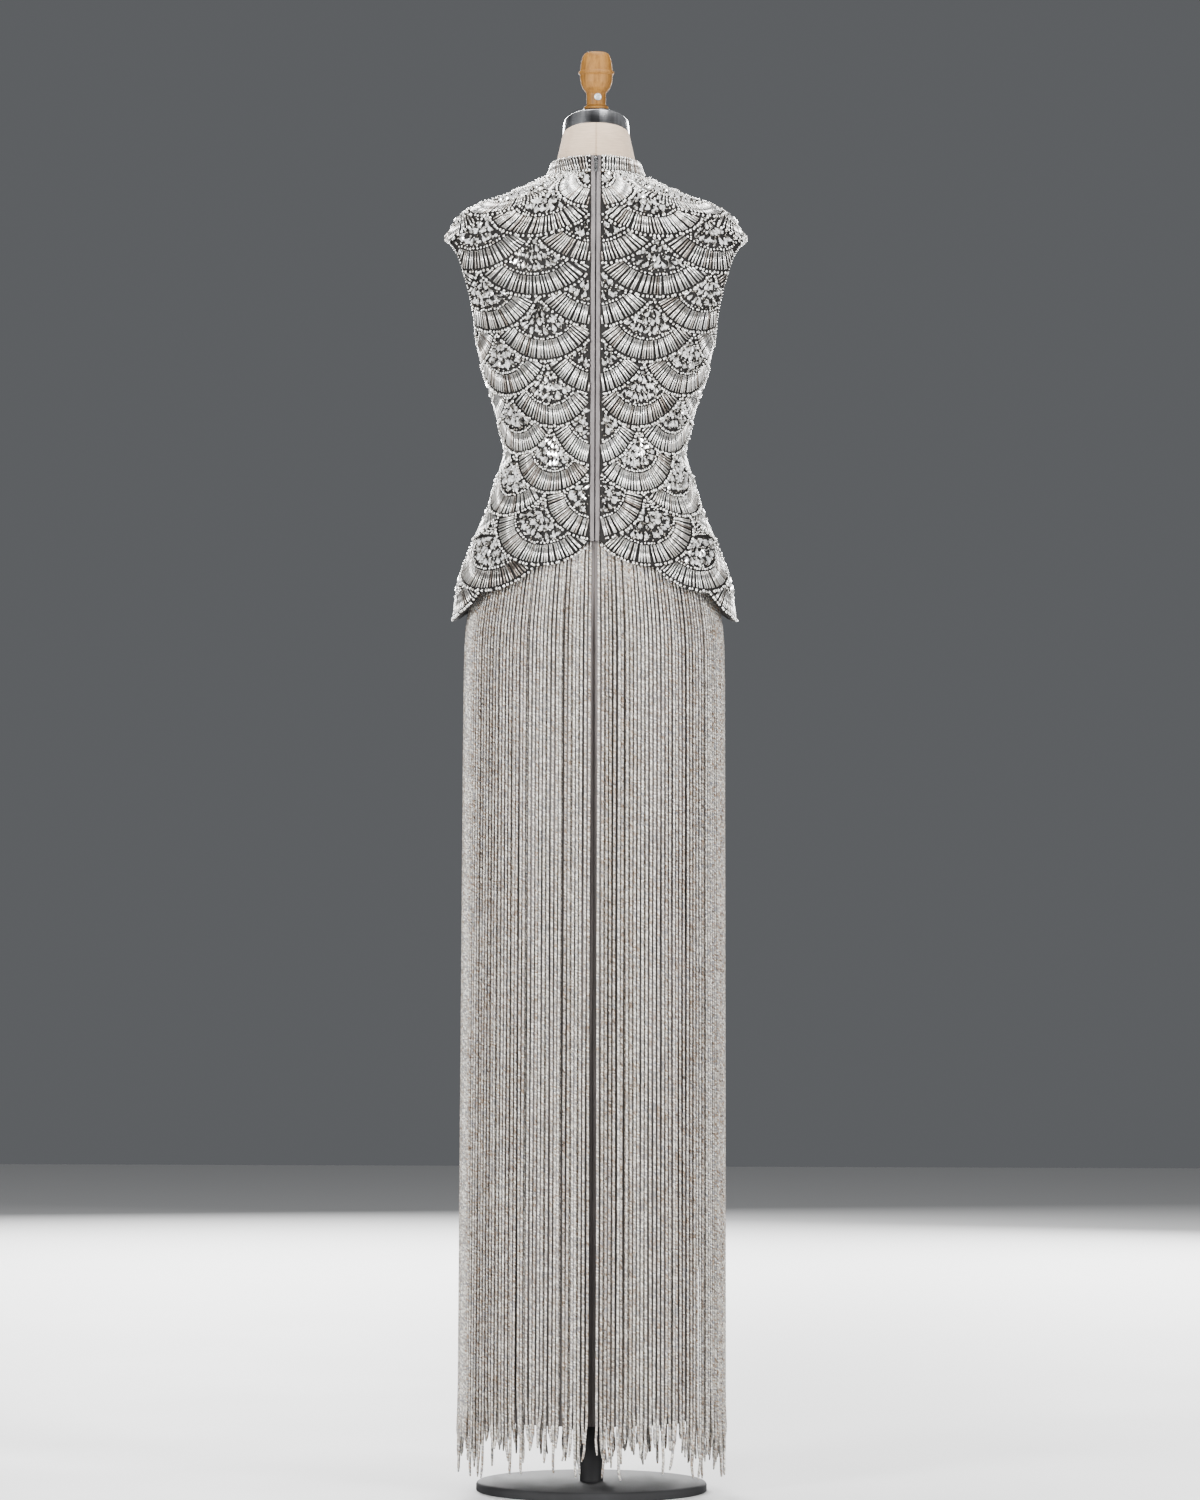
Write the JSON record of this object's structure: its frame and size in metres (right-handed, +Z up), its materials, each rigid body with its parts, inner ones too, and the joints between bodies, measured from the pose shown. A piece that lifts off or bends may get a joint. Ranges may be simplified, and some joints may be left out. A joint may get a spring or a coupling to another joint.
{
  "type": "beaded evening dress on a limbless dress form",
  "caption": "Sleeveless high-necked column gown: beaded bodice with scalloped peplum, long beaded fringe over a plain underskirt, back zip, on a dress form with stand.",
  "frame": {"origin": "centre of the base's underside, on the floor", "axes": "+Z up; the back of the dress faces -Y, its front +Y, and the wearer's right is at +X"},
  "size_m": [0.393, 0.3, 1.8713],
  "materials": {
    "silver_beading": "net covered in silver glass bugle beads and crystals, glittering",
    "silver_fringe": "strung silver and smoky glass beads, soft glitter",
    "mauve_grey_crepe": "matt mauve-grey crepe",
    "zip_tape": "woven mauve-grey tape",
    "zip_coil": "dark plastic coil",
    "silvered_metal": "plated zip metal",
    "brushed_steel": "brushed",
    "form_linen": "natural linen, matt",
    "turned_wood": "satin-varnished beech",
    "black_metal": "black powder coat"
  },
  "bodies": {
    "gown_on_form": {"bodice_back_left": "silver_beading", "bodice_back_right": "silver_beading", "bodice_front": "silver_beading", "collar": "silver_beading", "zip_tape_left": "zip_tape", "zip_tape_right": "zip_tape", "zip_coil": "zip_coil", "zip_slider": "silvered_metal", "underskirt_back_left": "mauve_grey_crepe", "underskirt_back_right": "mauve_grey_crepe", "underskirt_front": "mauve_grey_crepe", "fringe_back_left": "silver_fringe", "fringe_back_right": "silver_fringe", "fringe_front_left": "silver_fringe", "fringe_front_right": "silver_fringe", "form_torso": "form_linen", "form_neck_cap": "brushed_steel", "form_knob": "turned_wood", "form_knob_screw": "brushed_steel", "stand_pole": "black_metal", "stand_base": "black_metal"},
    "zip_pull_tab": {"zip_pull": "silvered_metal"}
  },
  "joints": [
    {"name": "zip_pull_hinge", "type": "hinge", "parent": "gown_on_form", "child": "zip_pull_tab", "pos_m": [0, -0.06143, 1.727], "axis": [-1, 0, 0], "range_deg": [0, 150]}
  ]
}
